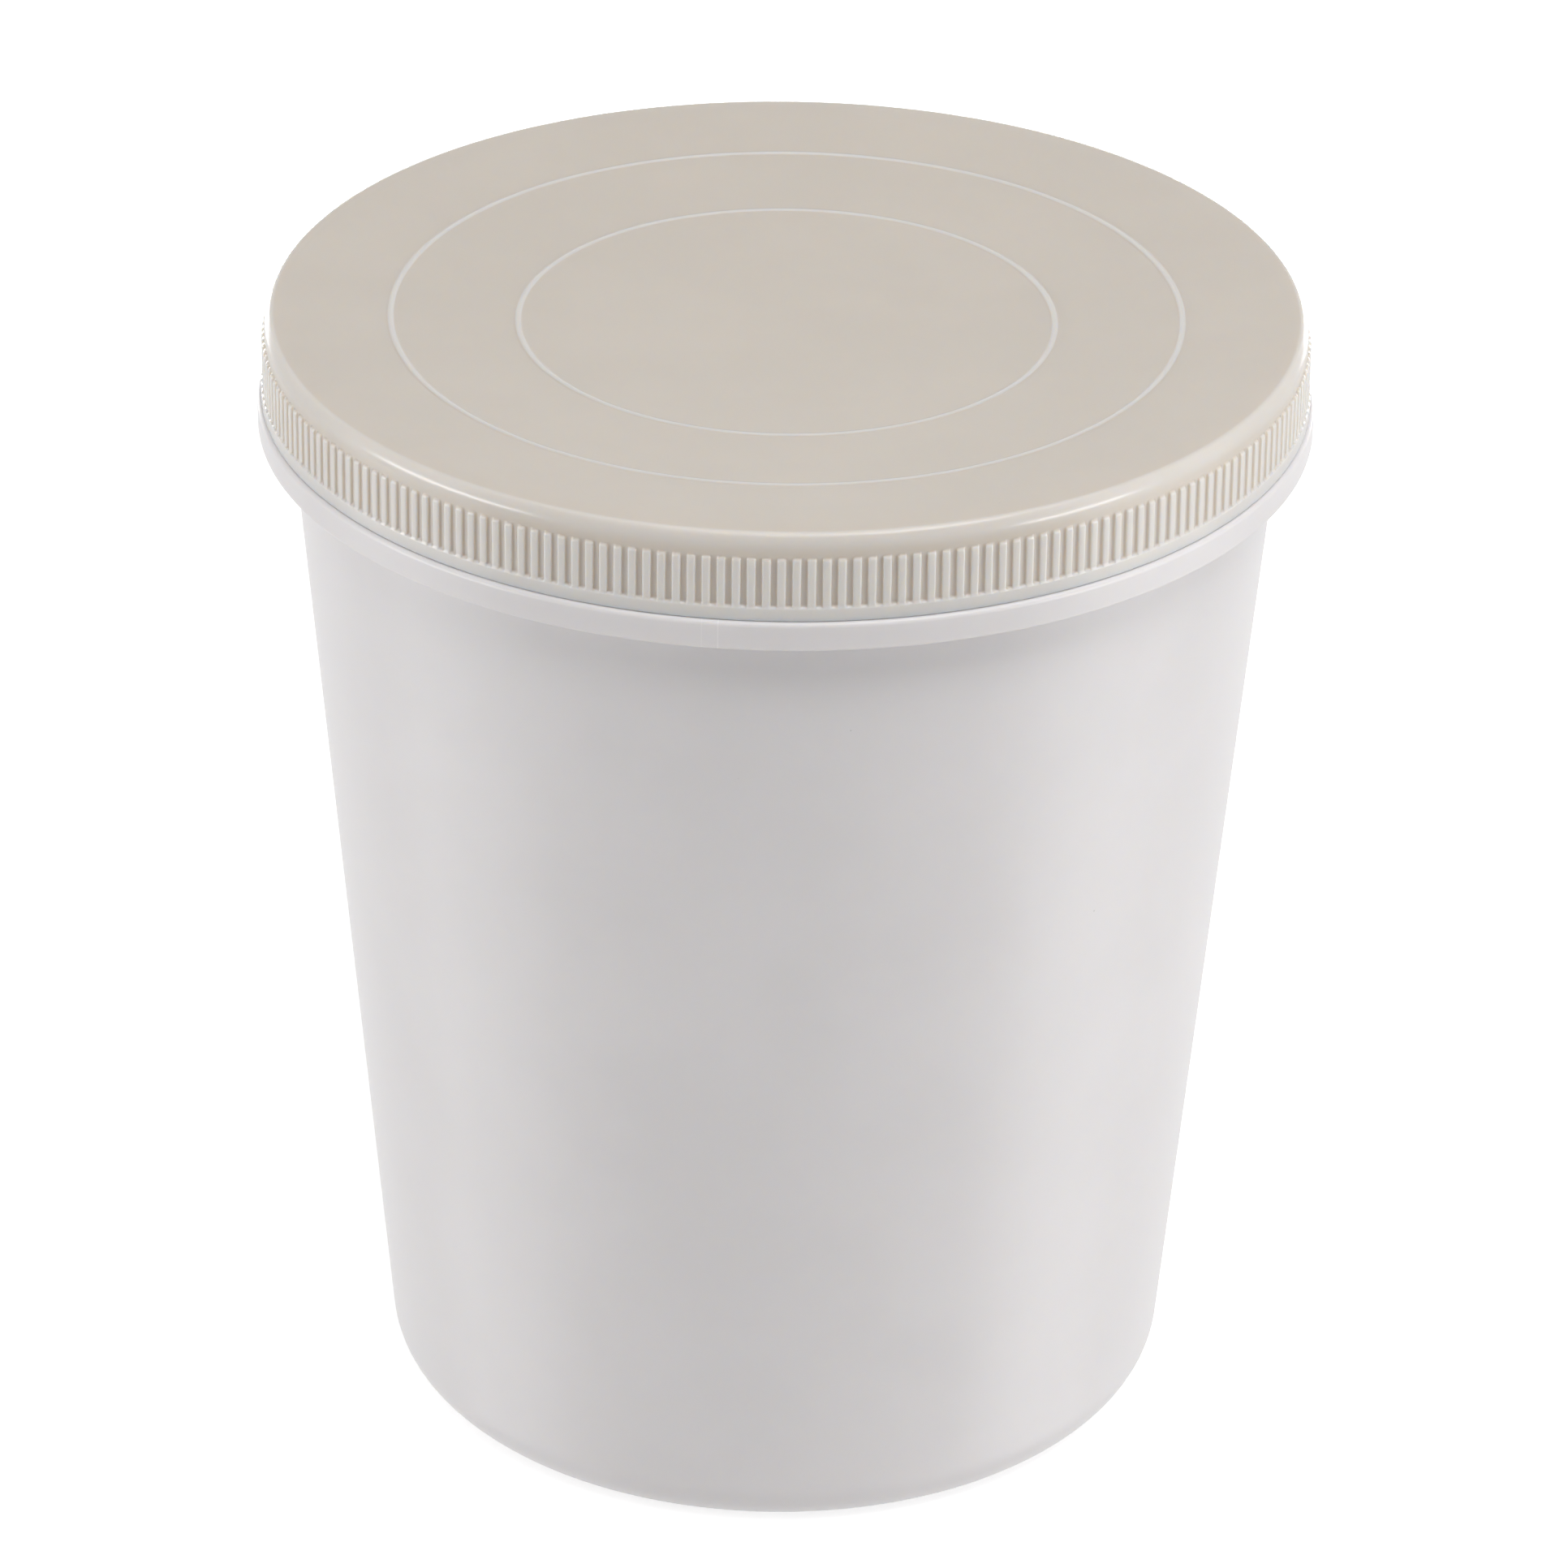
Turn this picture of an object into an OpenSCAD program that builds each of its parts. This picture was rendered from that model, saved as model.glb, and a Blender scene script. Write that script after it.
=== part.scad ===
// Round plastic paint cup with a screw lid and a soft sealing disc.
// Millimetres, +Z up, origin on the table at the centre of the cup's foot.

/* [Cup] */
// Height from the table to the top of the flange
cup_h = 126.8; // [60:0.1:240]
// Outer diameter of the neck and of the wall just under the flange
cup_d = 114; // [100:0.5:180]
// Outer diameter that the tapered wall would reach at the table
foot_d = 91.7; // [60:0.1:110]
// Thickness of the wall and the neck
wall_t = 1.5; // [1.2:0.1:2.5]
// Thickness of the floor
floor_t = 1.8; // [1:0.1:3]
// Outside radius of the rounded foot
foot_r = 6.5; // [4:0.1:12]
// Height of the ring that the cup stands on
foot_ring_h = 0.8; // [0.3:0.1:2]
// Width of the ring that the cup stands on
foot_ring_w = 3; // [1.5:0.1:10]

/* [Flange] */
// How far the flange stands out from the neck
flange_reach = 3.8; // [2.4:0.05:8]
// Height of the flange's outer face
flange_h = 3.4; // [2.4:0.1:12]
// Thickness of the flange's web and skirt
flange_t = 1.3; // [0.8:0.1:2]
// Radius on the flange's upper edge
flange_edge_r = 0.6; // [0.1:0.05:1]

/* [Lid] */
// Height of the lid from its lower rim to its top edge
lid_h = 10.1; // [8.8:0.1:30]
// Depth of the shallow dish in the top
dish_depth = 2.75; // [0.5:0.05:3.5]
// Thickness of the top
lid_top_t = 1.6; // [1:0.1:2.2]
// Thickness of the skirt behind the ribs
skirt_t = 1.2; // [1:0.1:3]
// Radius of the rounded top edge
lid_edge_r = 1.9; // [0.8:0.1:3]
// Gap between the lid's lower rim and the flange
rim_gap = 0.35; // [0.2:0.05:1]

/* [Grip] */
// Number of ribs round the skirt
rib_count = 228; // [60:4:240]
// How far the ribs stand out
rib_depth = 0.5; // [0.4:0.05:1.6]
// Height of the ribs above the plain lower rim
rib_h = 5.9; // [2:0.1:6.4]
// Share of the pitch that a rib fills at its root
rib_share = 0.6; // [0.4:0.02:0.8]
// Draft of each side of a rib, from root to crest
rib_draft = 0.06; // [0:0.01:0.12]
// Height of the plain lower rim
rim_h = 1.3; // [0.6:0.1:2.2]
// How far the plain lower rim stands out past the ribs
rim_proud = 0.15; // [0.02:0.01:0.4]

/* [Raised rings] */
// Diameter of the outer raised ring
outer_ring_d = 90.8; // [66:0.1:100]
// Diameter of the inner raised ring
inner_ring_d = 61.6; // [20:0.1:86]
// Width of each raised ring
ring_w = 0.7; // [0.4:0.1:2]
// Height of each raised ring
ring_h = 0.25; // [0.1:0.05:0.6]

/* [Seal and fit] */
// Thickness of the sealing disc
seal_t = 0.8; // [0.5:0.1:2]
// Gap left on each face of the sealing disc
seal_gap = 0.15; // [0.05:0.05:0.3]
// Gap between the sealing disc and the skirt
seal_side_gap = 0.3; // [0.1:0.05:0.4]
// Height of the bead that keeps the sealing disc in the lid
bead_h = 0.5; // [0.4:0.05:0.8]
// Room between the neck and the skirt, where the screw turns fit
screw_room = 1.5; // [1.2:0.1:3]

/* [Hidden] */
$fn = 72;
arc_steps = 4;
edge_steps = 2;
dish_steps = 2;
lip_r = 0.5;
rim_edge_r = 0.25;
embed = 0.4;

// Outline of the wall
neck_r = cup_d / 2;
neck_in_r = neck_r - wall_t;
flange_z = cup_h - flange_h;
taper = (neck_r - foot_d / 2) / flange_z;
taper_a = atan(taper);
foot_c_r = foot_d / 2 + foot_r * taper - foot_r / cos(taper_a);
floor_z = foot_ring_h + floor_t;
inside_r = foot_r - wall_t;
inside_c_r = foot_d / 2 - wall_t + (floor_z + inside_r) * taper - inside_r / cos(taper_a);
ring_in_r = foot_c_r - foot_ring_w;

// Lid, measured outward from the neck
skirt_in_r = neck_r + screw_room;
band_r = skirt_in_r + skirt_t;
lid_r = band_r + rib_depth;
lid_z = cup_h + rim_gap;
lid_top_z = lid_z + lid_h;
ribs_z = lid_z + rim_h;
dish_r = band_r - lid_edge_r;
seat_r = neck_in_r - 1.5;
seat_z = dish_z(seat_r) - lid_top_t;
seal_top_z = seat_z - seal_gap;
lip_z = seal_top_z - seal_t - seal_gap;

// Height of the dished top surface at radius r
function dish_z(r) = lid_top_z - dish_depth * (1 - pow(min(r, dish_r) / dish_r, 2));

// Points of an arc about [x, z], from angle a0 to a1
function arc(x, z, r, a0, a1, steps = arc_steps) =
    [for (i = [0:steps]) let (a = a0 + (a1 - a0) * i / steps) [x + r * cos(a), z + r * sin(a)]];

// Points of the dish lowered by drop, between radii r0 and r1
function dish(drop, r0, r1) =
    [for (i = [0:dish_steps]) let (r = r0 + (r1 - r0) * i / dish_steps) [r, dish_z(r) - drop]];

// Cross-section of a raised ring of radius r, crossed outward
function raised_ring(r) = [[r - ring_w / 2, dish_z(r - ring_w / 2)],
                           [r - ring_w / 5, dish_z(r) + ring_h],
                           [r + ring_w / 5, dish_z(r) + ring_h],
                           [r + ring_w / 2, dish_z(r + ring_w / 2)]];

// Tapered cup with a rounded foot, a hollow flange and a straight neck
module cup() {
    outside = concat(
        [[0, foot_ring_h], [ring_in_r - foot_ring_h, foot_ring_h], [ring_in_r, 0]],
        arc(foot_c_r, foot_r, foot_r, -90, -taper_a),
        [[neck_r, flange_z]]);
    flange = concat(
        [[neck_r, cup_h - flange_t],
         [neck_r + flange_reach - flange_t, cup_h - flange_t],
         [neck_r + flange_reach - flange_t, flange_z],
         [neck_r + flange_reach, flange_z]],
        arc(neck_r + flange_reach - flange_edge_r, cup_h - flange_edge_r, flange_edge_r, 0, 90, edge_steps));
    neck = concat(
        [[neck_r, cup_h]],
        arc(neck_r - lip_r, lip_z - lip_r, lip_r, 0, 90, edge_steps),
        arc(neck_in_r + lip_r, lip_z - lip_r, lip_r, 90, 180, edge_steps));
    inside = concat(
        [[neck_in_r, flange_z]],
        arc(inside_c_r, floor_z + inside_r, inside_r, -taper_a, -90),
        [[0, floor_z]]);
    color("#e8e7eb")
        rotate_extrude()
            polygon(concat(outside, flange, neck, inside));
}

// Smooth shell of the lid: dished top, round edge, skirt and plain lower rim
module lid_shell() {
    rim_r = lid_r + rim_proud;
    bead_z = seal_top_z - seal_t - seal_gap - bead_h;
    outside = concat(
        [[skirt_in_r, lid_z], [rim_r - rim_edge_r, lid_z]],
        arc(rim_r - rim_edge_r, lid_z + rim_edge_r, rim_edge_r, -90, 0, edge_steps),
        [[rim_r, ribs_z], [band_r, ribs_z]],
        arc(dish_r, lid_top_z - lid_edge_r, lid_edge_r, 0, 90));
    top = concat(
        dish(0, dish_r, outer_ring_d / 2 + ring_w),
        reversed(raised_ring(outer_ring_d / 2)),
        dish(0, outer_ring_d / 2 - ring_w, inner_ring_d / 2 + ring_w),
        reversed(raised_ring(inner_ring_d / 2)),
        dish(0, inner_ring_d / 2 - ring_w, 0));
    inside = concat(
        dish(lid_top_t, 0, seat_r),
        [[skirt_in_r, seat_z],
         [skirt_in_r, bead_z + bead_h],
         [skirt_in_r - bead_h, bead_z],
         [skirt_in_r, bead_z - bead_h]]);
    rotate_extrude()
        polygon(without_repeats(concat(outside, top, inside)));
}

// The same points in the opposite order
function reversed(points) = [for (i = [len(points) - 1:-1:0]) points[i]];

// Leaves out each point that repeats the one before it
function without_repeats(points) =
    [for (i = [0:len(points) - 1]) if (i == 0 || norm(points[i] - points[max(i - 1, 0)]) > 0.001) points[i]];

// Fine upright ribs that give the skirt its grip, rounded over at the top
module ribs() {
    pitch_a = 360 / rib_count;
    root_a = pitch_a * rib_share / 2;
    crest_a = root_a - pitch_a * rib_draft;
    root_r = band_r - embed;
    over_r = lid_r + embed;
    teeth = [for (i = [0:rib_count - 1], corner = [[root_r, -root_a], [over_r, -crest_a],
                                                   [over_r, crest_a], [root_r, root_a]])
             [corner[0] * cos(i * pitch_a + corner[1]), corner[0] * sin(i * pitch_a + corner[1])]];
    intersection() {
        translate([0, 0, ribs_z - embed])
            linear_extrude(height = rib_h + embed)
                polygon(teeth);
        rotate([0, 0, pitch_a / 2])
            rotate_extrude($fn = rib_count)
                polygon(concat(
                    [[root_r - embed, ribs_z - embed], [lid_r, ribs_z - embed]],
                    arc(band_r, ribs_z + rib_h - rib_depth, rib_depth, 0, 80, edge_steps),
                    [[root_r - embed, ribs_z + rib_h]]));
    }
}

// Screw lid with its ring of grip ribs
module lid() {
    color("#ccc3b9")
        union() {
            lid_shell();
            ribs();
        }
}

// Soft disc that follows the underside of the lid and seals on the neck's lip
module sealing_disc() {
    seal_r = skirt_in_r - seal_side_gap;
    top_drop = lid_top_t + seal_gap;
    color("#f4f3f1")
        rotate_extrude()
            polygon(concat(
                dish(top_drop + seal_t, 0, seat_r),
                [[seal_r, seal_top_z - seal_t], [seal_r, seal_top_z]],
                dish(top_drop, seat_r, 0)));
}

cup();
lid();
sealing_disc();
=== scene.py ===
"""A round paint cup with its screw lid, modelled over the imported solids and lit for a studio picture.

Sizes in the classes are millimetres in the frame of the solids: +Z runs up the cup's axis, the
origin lies under the middle of its foot, and -Y faces the camera.
"""

import logging
import math
from collections.abc import Callable, Iterable, Sequence
from dataclasses import dataclass, field
from enum import Enum

import bmesh
import bpy
from mathutils import Matrix, Vector


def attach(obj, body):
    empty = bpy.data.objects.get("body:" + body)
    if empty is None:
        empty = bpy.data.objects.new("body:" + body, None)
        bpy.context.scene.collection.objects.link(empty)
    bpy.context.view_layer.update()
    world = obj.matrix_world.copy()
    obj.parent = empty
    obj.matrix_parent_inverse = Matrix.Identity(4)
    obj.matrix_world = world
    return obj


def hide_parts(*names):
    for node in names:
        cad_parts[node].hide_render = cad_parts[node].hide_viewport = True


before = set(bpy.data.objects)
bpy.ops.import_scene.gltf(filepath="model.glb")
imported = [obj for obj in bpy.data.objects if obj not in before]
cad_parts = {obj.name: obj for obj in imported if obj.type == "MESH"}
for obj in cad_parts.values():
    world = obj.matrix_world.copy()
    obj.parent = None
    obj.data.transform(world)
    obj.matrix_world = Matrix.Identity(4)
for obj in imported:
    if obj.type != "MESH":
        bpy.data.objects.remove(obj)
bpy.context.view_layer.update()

MM = 0.001
RIB_COUNT = 228
LATHE_STEPS = 2 * RIB_COUNT
MERGE_MM = 0.004
FINE_MERGE_MM = 0.0005
SENSOR_MM = 36.0
LAMP_AIM = (0.0, 0.0, 0.07)
WHITE = (1.0, 1.0, 1.0, 1.0)
# How far red, green and blue light spread under the skin, as shares of the reach
GLOW_SPREAD = (1.0, 0.8, 0.55)
# Scale, detail and roughness of the plastics' noises
CLOUD_NOISE = (55.0, 3.0, 0.55)
SKIN_NOISE = (1800.0, 2.0, 0.6)
WAVE_NOISE = (38.0, 1.0, 0.4)
# Gate mark under the cup's floor: radius and height
GATE_LINE = ((0, 0.62), (0.7, 0.62), (1.0, 0.75), (1.15, 1.1), (1.5, 1.25), (3.2, 1.25), (3.8, 1.1))
# Half a pitch of the grip, from the groove's middle: share of the pitch, and how far the column stands out
HALF_PITCH = ((0.5, 0.0), (0.33, 0.0), (0.28, 0.7), (0.235, 0.94), (0.13, 1.0))
# A raised ring crossed inward: share of its width and share of its height
RING_LINE = ((0.5, 0.0), (0.34, 0.5), (0.2, 0.9), (0.0, 1.0), (-0.2, 0.9), (-0.34, 0.5), (-0.5, 0.0))

log = logging.getLogger("paint_cup")

Point = tuple[float, float, float]
Colour = tuple[float, float, float]
Piece = bpy.types.Object
Socket = bpy.types.NodeSocket
Values = dict[str | int, object]


class Body(Enum):
    """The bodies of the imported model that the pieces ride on."""

    CUP = "cup"
    LID = "lid"
    SEAL = "sealing_disc"


class Slot(Enum):
    """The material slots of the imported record."""

    CUP = "cup_plastic"
    LID = "lid_plastic"
    SEAL = "seal_foam"


class Side(Enum):
    """Which member of a screw a thread belongs to, with the way its crest points."""

    NECK = 1
    SKIRT = -1


@dataclass
class Outline:
    """A line of points in the half plane through the axis, drawn move by move."""

    points: list[tuple[float, float]] = field(default_factory=list)

    def to(self, radius: float, height: float) -> "Outline":
        """Goes straight to a point and returns the outline."""
        self.points.append((radius, height))
        return self

    def run(self, radius: float, height: float, parts: int) -> "Outline":
        """Goes straight to a point in equal parts.

        Args:
            radius: Distance of the end from the axis.
            height: Height of the end.
            parts: How many equal parts the way has.

        Returns:
            The outline itself.
        """
        r0, z0 = self.points[-1]
        for i in range(1, parts + 1):
            self.to(r0 + (radius - r0) * i / parts, z0 + (height - z0) * i / parts)
        return self

    def bend(
        self, centre: tuple[float, float], radius: float, start: float, end: float, parts: int
    ) -> "Outline":
        """Follows an arc.

        Args:
            centre: Radius and height of the arc's centre.
            radius: Radius of the arc.
            start: First angle in degrees, from the outward direction.
            end: Last angle in degrees.
            parts: How many parts the arc has.

        Returns:
            The outline itself.
        """
        for i in range(parts + 1):
            a = math.radians(start + (end - start) * i / parts)
            self.to(centre[0] + radius * math.cos(a), centre[1] + radius * math.sin(a))
        return self

    def at(self, angle: float = 0.0) -> list[Point]:
        """Stands the outline up in space.

        Args:
            angle: Angle about the axis, in radians.

        Returns:
            Its points in millimetres, without repeats.
        """
        c, s = math.cos(angle), math.sin(angle)
        kept: list[tuple[float, float]] = []
        for p in self.points:
            if not kept or math.dist(p, kept[-1]) > 2 * MERGE_MM:
                kept.append(p)
        return [(r * c, r * s, z) for r, z in kept]


class Bench:
    """The modelling moves that the pieces share, each made with Blender's own operators."""

    @staticmethod
    def put_down() -> None:
        """Leaves edit mode and deselects every object."""
        if bpy.context.object and bpy.context.object.mode != "OBJECT":
            bpy.ops.object.mode_set(mode="OBJECT")
        bpy.ops.object.select_all(action="DESELECT")

    @staticmethod
    def hold(piece: Piece) -> None:
        """Selects one object alone and makes it the active one.

        Args:
            piece: The object.
        """
        Bench.put_down()
        piece.select_set(True)
        bpy.context.view_layer.objects.active = piece

    @staticmethod
    def pick(choose: Callable[[int, Vector], bool]) -> None:
        """Selects the vertices of the mesh in edit mode that pass a test.

        Args:
            choose: Takes a vertex's number and its place in millimetres.
        """
        mesh = bpy.context.edit_object.data
        bm = bmesh.from_edit_mesh(mesh)
        bm.verts.ensure_lookup_table()
        for v in bm.verts:
            v.select = bool(choose(v.index, v.co / MM))
        bm.select_flush_mode()
        bmesh.update_edit_mesh(mesh)

    @staticmethod
    def draw(points: Sequence[Point]) -> None:
        """Draws a line in the mesh in edit mode: one point, then one extrusion for each next point.

        Args:
            points: The line's points in millimetres.
        """
        bpy.ops.mesh.primitive_plane_add(size=MM, location=(0, 0, 0))
        bpy.ops.mesh.merge(type="CENTER")
        bpy.ops.transform.translate(value=Vector(points[0]) * MM)
        for before, after in zip(points, points[1:]):
            step = (Vector(after) - Vector(before)) * MM
            bpy.ops.mesh.extrude_vertices_move(TRANSFORM_OT_translate={"value": step})

    @staticmethod
    def begin(name: str, points: Sequence[Point]) -> Piece:
        """Starts a piece as a drawn line and stays in edit mode.

        Args:
            name: Name of the new object.
            points: The line's points in millimetres.

        Returns:
            The new object, with its origin at the world's.
        """
        Bench.put_down()
        bpy.ops.mesh.primitive_plane_add(size=MM, location=(0, 0, 0))
        piece = bpy.context.object
        piece.name = piece.data.name = name
        bpy.ops.object.mode_set(mode="EDIT")
        bpy.context.tool_settings.mesh_select_mode = (True, False, False)
        bpy.ops.mesh.select_all(action="SELECT")
        bpy.ops.mesh.delete(type="VERT")
        Bench.draw(points)
        return piece

    @staticmethod
    def weld(gap: float = MERGE_MM) -> None:
        """Merges doubled vertices of the mesh in edit mode and turns its faces outward.

        Args:
            gap: Largest distance that is closed, in millimetres.
        """
        bpy.ops.mesh.select_all(action="SELECT")
        bpy.ops.mesh.remove_doubles(threshold=gap * MM)
        bpy.ops.mesh.normals_make_consistent(inside=False)

    @staticmethod
    def turn(name: str, outline: Outline, steps: int = LATHE_STEPS) -> Piece:
        """Turns an outline round the axis, as on a lathe.

        Args:
            name: Name of the new object.
            outline: The outline to turn.
            steps: How many steps make the full turn.

        Returns:
            The new object, in object mode.
        """
        piece = Bench.begin(name, outline.at())
        bpy.ops.mesh.select_all(action="SELECT")
        bpy.ops.mesh.spin(steps=steps, angle=2 * math.pi, center=(0, 0, 0), axis=(0, 0, 1))
        Bench.weld()
        Bench.put_down()
        return piece

    @staticmethod
    def join(pieces: Sequence[Piece]) -> Piece:
        """Joins meshes into the first of them and welds what they share.

        Args:
            pieces: The objects to join.

        Returns:
            The first object, which now holds all of them.
        """
        Bench.hold(pieces[0])
        for p in pieces:
            p.select_set(True)
        bpy.ops.object.join()
        bpy.ops.object.mode_set(mode="EDIT")
        Bench.weld()
        Bench.put_down()
        return pieces[0]

    @staticmethod
    def finish(piece: Piece) -> None:
        """Smooths a piece and keeps its flats flat with weighted normals.

        Args:
            piece: The finished mesh object.
        """
        Bench.hold(piece)
        bpy.ops.object.shade_smooth()
        weights = piece.modifiers.new("flats", "WEIGHTED_NORMAL")
        weights.mode = "FACE_AREA_WITH_ANGLE"
        weights.weight = 60
        weights.keep_sharp = False
        bpy.ops.object.modifier_apply(modifier=weights.name)
        Bench.put_down()

    @staticmethod
    def open_edges(piece: Piece) -> int:
        """Counts the edges that don't have two faces.

        Args:
            piece: The mesh object.

        Returns:
            How many there are, 0 for a closed mesh.
        """
        bm = bmesh.new()
        bm.from_mesh(piece.data)
        count = sum(1 for e in bm.edges if len(e.link_faces) != 2)
        bm.free()
        return count


class Nodes:
    """A small writer of node trees, whose patterns lie in object coordinates."""

    def __init__(self, tree: bpy.types.NodeTree) -> None:
        """Empties a tree to be written anew.

        Args:
            tree: The tree.
        """
        self.tree = tree
        tree.nodes.clear()
        self.place = self.add("ShaderNodeTexCoord").outputs["Object"]

    def add(self, kind: str, sockets: Values | None = None, **settings: object) -> bpy.types.Node:
        """Adds a node.

        Args:
            kind: The node's type name.
            sockets: Input values or output sockets to link, by input name or number.
            **settings: Properties of the node itself.

        Returns:
            The new node.
        """
        node = self.tree.nodes.new(kind)
        for key, value in settings.items():
            setattr(node, key, value)
        for key, value in (sockets or {}).items():
            if isinstance(value, Socket):
                self.tree.links.new(value, node.inputs[key])
            else:
                node.inputs[key].default_value = value
        return node

    def math(self, operation: str, a: object, b: object = 0.0) -> Socket:
        """Adds a Math node for one or two values or sockets and returns its output socket."""
        return self.add("ShaderNodeMath", {0: a, 1: b}, operation=operation).outputs[0]

    def span(self, value: object, low: float, high: float, to_low: float, to_high: float) -> Socket:
        """Maps a value from low and high smoothly to to_low and to_high and returns the clamped result."""
        sockets = {"Value": value, "From Min": low, "From Max": high, "To Min": to_low, "To Max": to_high}
        return self.add("ShaderNodeMapRange", sockets, interpolation_type="SMOOTHSTEP").outputs["Result"]

    def mix(self, share: object, a: object, b: object) -> Socket:
        """Mixes two colours, each three numbers or a socket, by the share of the second one."""
        a, b = ((*c, 1.0) if isinstance(c, tuple) else c for c in (a, b))
        return self.add("ShaderNodeMix", {0: share, 6: a, 7: b}, data_type="RGBA").outputs[2]

    def noise(self, scale: float, detail: float, roughness: float = 0.5) -> Socket:
        """Adds fractal noise, with about scale patches in a metre, and returns its value socket."""
        sockets = {"Vector": self.place, "Scale": scale, "Detail": detail, "Roughness": roughness}
        return self.add("ShaderNodeTexNoise", sockets).outputs["Fac"]

    def bump(self, height: Socket, depth: float, share: float = 1.0, under: Socket | None = None) -> Socket:
        """Adds a bump.

        Args:
            height: The relief.
            depth: Height of the relief, in millimetres.
            share: How much of it is shown.
            under: Normal of the bump that this one lies on, if any.

        Returns:
            The bumped normal's socket.
        """
        sockets: Values = {"Height": height, "Strength": share, "Distance": depth * MM}
        if under is not None:
            sockets["Normal"] = under
        return self.add("ShaderNodeBump", sockets).outputs["Normal"]


def new_material(name: str) -> tuple[bpy.types.Material, Nodes]:
    """Starts a material with an empty tree.

    Args:
        name: Name of the material.

    Returns:
        The material and the writer of its tree.
    """
    material = bpy.data.materials.new(name)
    material.use_nodes = True
    return material, Nodes(material.node_tree)


def tinted(colour: Colour, tone: float) -> Colour:
    """Lightens or darkens a colour by a factor and keeps it under full white."""
    return tuple(min(1.0, c * tone) for c in colour)


@dataclass(frozen=True)
class MouldedPlastic:
    """Pale moulded plastic: slight clouding, sparse dark specks, a soft sheen and a faint skin.

    Attributes:
        name: Name of the material.
        colour: Colour of the bulk, linear.
        cloud: How much the clouding lightens and darkens the colour.
        roughness: Roughness of the smooth skin.
        roughness_play: How far the roughness wanders either way.
        ior: Index of refraction.
        speck_spacing: Distance between places for a speck, in millimetres.
        speck_share: Share of those places that hold a speck.
        speck_size: Largest radius of a speck, in millimetres.
        speck_tone: How dark a full speck is, as a share of the colour.
        skin_depth: Height of the fine skin, in millimetres.
        wave_depth: Height of the slow waviness, in millimetres.
        depth_glow: Weight of the light that travels under the skin.
        depth_reach: How far it travels, in millimetres.
    """

    name: str
    colour: Colour
    cloud: float = 0.014
    roughness: float = 0.32
    roughness_play: float = 0.03
    ior: float = 1.49
    speck_spacing: float = 4.0
    speck_share: float = 0.3
    speck_size: float = 0.11
    speck_tone: float = 0.72
    skin_depth: float = 0.004
    wave_depth: float = 0.02
    depth_glow: float = 0.0
    depth_reach: float = 1.0

    def make(self) -> bpy.types.Material:
        """Builds the finish.

        Returns:
            The material.
        """
        material, n = new_material(self.name)
        cloud, skin, wave = (n.noise(*kind) for kind in (CLOUD_NOISE, SKIN_NOISE, WAVE_NOISE))
        dark, light = tinted(self.colour, 1 - self.cloud), tinted(self.colour, 1 + self.cloud)
        bulk = n.mix(n.span(cloud, 0.3, 0.7, 0.0, 1.0), dark, light)
        bulk = n.mix(self._specks(n), bulk, tinted(self.colour, self.speck_tone))
        smooth, dull = self.roughness - self.roughness_play, self.roughness + self.roughness_play
        shader = n.add(
            "ShaderNodeBsdfPrincipled",
            {
                "Base Color": self._marked(n, bulk),
                "Roughness": n.span(cloud, 0.25, 0.75, smooth, dull),
                "IOR": self.ior,
                "Normal": n.bump(skin, self.skin_depth, under=n.bump(wave, self.wave_depth)),
                "Subsurface Weight": self.depth_glow,
                "Subsurface Radius": GLOW_SPREAD,
                "Subsurface Scale": self.depth_reach * MM,
            },
        )
        n.add("ShaderNodeOutputMaterial", {"Surface": shader.outputs["BSDF"]})
        return material

    def _specks(self, n: Nodes) -> Socket:
        """Scatters small dark specks of uneven size.

        Args:
            n: The writer of the material's tree.

        Returns:
            A socket that is 1 in a speck and 0 elsewhere.
        """
        sockets = {"Vector": n.place, "Scale": 1.0 / (self.speck_spacing * MM)}
        cells = n.add("ShaderNodeTexVoronoi", sockets)
        pick = n.add("ShaderNodeSeparateColor", {"Color": cells.outputs["Color"]})
        reach = n.math("MULTIPLY", pick.outputs["Red"], self.speck_size / self.speck_spacing)
        inside = n.math("LESS_THAN", cells.outputs["Distance"], reach)
        chosen = n.math("LESS_THAN", pick.outputs["Green"], self.speck_share)
        strength = n.span(pick.outputs["Blue"], 0.0, 1.0, 0.15, 0.9)
        return n.math("MULTIPLY", n.math("MULTIPLY", inside, chosen), strength)

    def _marked(self, n: Nodes, colour: Socket) -> Socket:
        """Leaves the colour as it is; a finish with marks of its own adds them here."""
        return colour


@dataclass(frozen=True)
class CupPlastic(MouldedPlastic):
    """The cup's white plastic, with faint upright weld lines where its flange filled last.

    Attributes:
        welds: Angle of each line about the axis, in degrees from +X, and how clear it is.
        weld_width: Half the width of a line, in degrees.
        weld_low: Height where the lines begin, in millimetres.
        weld_tone: How pale a full line is, as a share of the colour.
    """

    welds: tuple[tuple[float, float], ...] = ((-98.2, 0.35), (-96.5, 0.7))
    weld_width: float = 0.1
    weld_low: float = 123.0
    weld_tone: float = 1.15

    def _marked(self, n: Nodes, colour: Socket) -> Socket:
        """Adds the weld lines.

        Args:
            n: The writer of the material's tree.
            colour: The colour so far.

        Returns:
            The colour with the lines in it.
        """
        axis = n.add("ShaderNodeSeparateXYZ", {"Vector": n.place})
        angle = n.math("ARCTAN2", axis.outputs["Y"], axis.outputs["X"])
        above = n.math("GREATER_THAN", axis.outputs["Z"], self.weld_low * MM)
        for place_deg, clearness in self.welds:
            away = n.math("ABSOLUTE", n.math("SUBTRACT", angle, math.radians(place_deg)))
            near = n.span(away, 0.0, math.radians(self.weld_width), clearness, 0.0)
            colour = n.mix(n.math("MULTIPLY", near, above), colour, tinted(self.colour, self.weld_tone))
        return colour


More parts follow.
